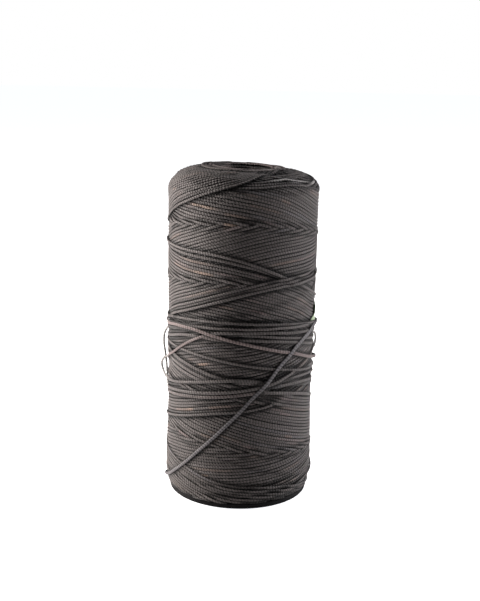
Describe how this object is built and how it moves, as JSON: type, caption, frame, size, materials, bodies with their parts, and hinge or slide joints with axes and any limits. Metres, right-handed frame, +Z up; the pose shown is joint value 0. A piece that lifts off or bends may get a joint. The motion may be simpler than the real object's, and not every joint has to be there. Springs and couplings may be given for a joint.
{
  "type": "waxed thread spool",
  "caption": "Upright spool of flat braided waxed thread, cross-wound on a core tube with a base flange, for hand stitching leather. Thread draws off over the top.",
  "frame": {"origin": "centre of the spindle hole, on the plane the spool stands on", "axes": "+Z up the spool's axis, -Y the front where the crossing turn shows"},
  "size_m": [0.0657, 0.0645, 0.1375],
  "materials": {
    "flange_plastic": "moulded satin black",
    "tube_board": "wound dark board",
    "waxed_thread": "flat braided polyester, waxed satin",
    "slip_paper": "thin pale green paper"
  },
  "bodies": {
    "root": {"base_flange": "flange_plastic", "core_tube": "tube_board", "thread_winding": "waxed_thread", "upper_turn": "waxed_thread", "middle_turn": "waxed_thread", "lower_turn": "waxed_thread", "crossing_turn": "waxed_thread", "side_bights": "waxed_thread", "paper_slip": "slip_paper"}
  },
  "joints": []
}
